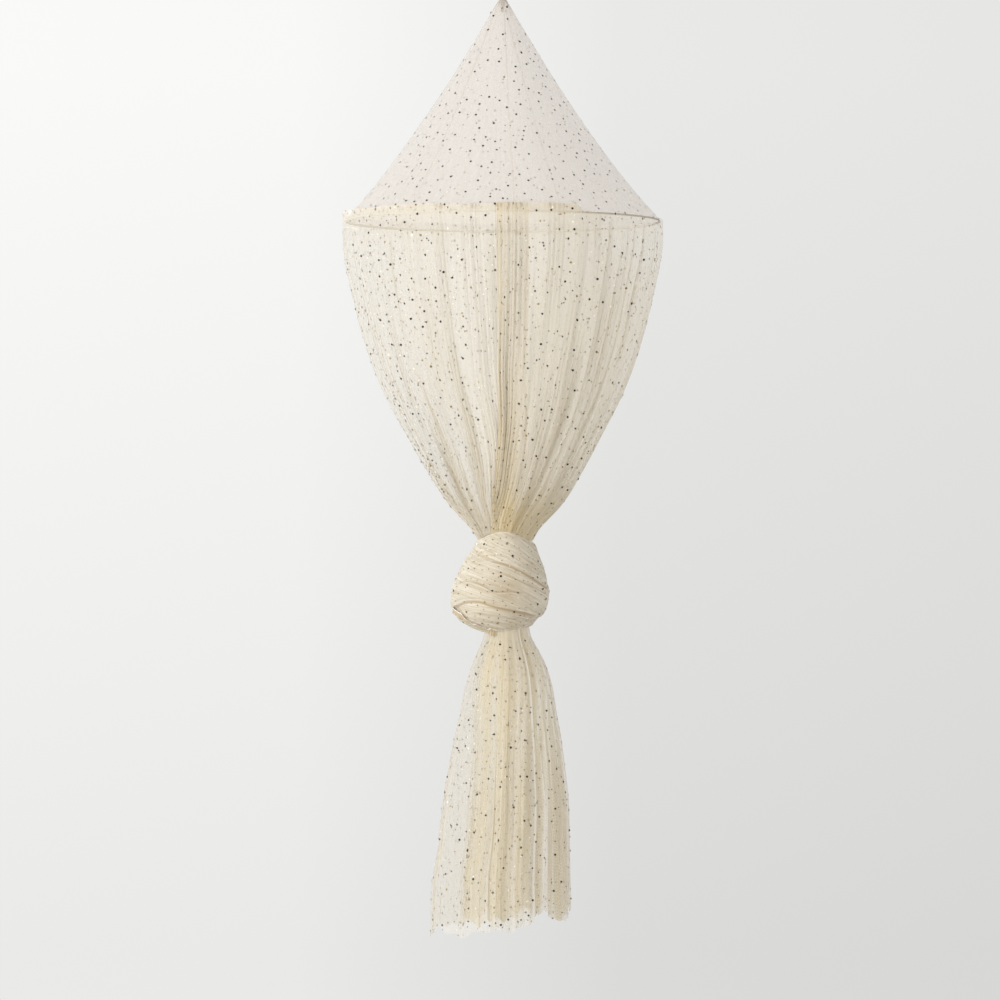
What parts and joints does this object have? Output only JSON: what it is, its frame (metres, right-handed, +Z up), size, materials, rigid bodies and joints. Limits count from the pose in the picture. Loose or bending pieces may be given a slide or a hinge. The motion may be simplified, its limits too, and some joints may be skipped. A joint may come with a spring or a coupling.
{
  "type": "bed crown canopy",
  "caption": "Sheer gathered bed canopy on a round hoop, hung from a ceiling hook by a tape loop, its curtains tied in a large knot with a flared tail.",
  "frame": {"origin": "centre of the flat top face of the adhesive pad, where it meets the ceiling", "axes": "+Z up to the ceiling, the canopy hangs along -Z; -Y is the front, where the two curtain panels overlap; +X is to the right seen from the front"},
  "size_m": [0.6116, 0.6154, 1.8589],
  "materials": {
    "pad_foam": "matte",
    "white_metal": "satin",
    "ring_steel": "satin",
    "hoop_steel": "satin",
    "joiner_plastic": "satin",
    "tape_cloth": "matte",
    "cone_tulle": "matte",
    "curtain_tulle": "matte",
    "knot_tulle": "matte",
    "tail_tulle": "matte"
  },
  "bodies": {
    "ceiling_hook": {"adhesive_pad": "pad_foam", "ceiling_plate": "white_metal", "hook": "white_metal"},
    "hanger_ring": {"d_ring": "ring_steel"},
    "canopy": {"hanging_tape": "tape_cloth", "neck_gather": "cone_tulle", "neck_binding": "tape_cloth", "cone_gore_right": "cone_tulle", "cone_gore_back": "cone_tulle", "cone_gore_left": "cone_tulle", "hoop_rod": "hoop_steel", "hoop_joiner": "joiner_plastic", "hoop_casing": "cone_tulle", "curtain_left": "curtain_tulle", "curtain_right": "curtain_tulle", "knot_core": "knot_tulle", "knot_top_wrap": "knot_tulle", "knot_middle_wrap": "knot_tulle", "knot_bottom_wrap": "knot_tulle", "knot_edge_flap": "knot_tulle"},
    "tail": {"tail_left": "tail_tulle", "tail_right": "tail_tulle", "tail_inner": "tail_tulle"}
  },
  "joints": [
    {"name": "ring_swing", "type": "hinge", "parent": "ceiling_hook", "child": "hanger_ring", "pos_m": [0, 0, -0.03], "axis": [0, 1, 0], "range_deg": [-45, 45]},
    {"name": "canopy_swing", "type": "hinge", "parent": "hanger_ring", "child": "canopy", "pos_m": [0, 0, -0.0429], "axis": [1, 0, 0], "range_deg": [-40, 40]},
    {"name": "tail_swing", "type": "hinge", "parent": "canopy", "child": "tail", "pos_m": [0.009, 0, -1.2889], "axis": [0, 1, 0], "range_deg": [-15, 15]}
  ]
}
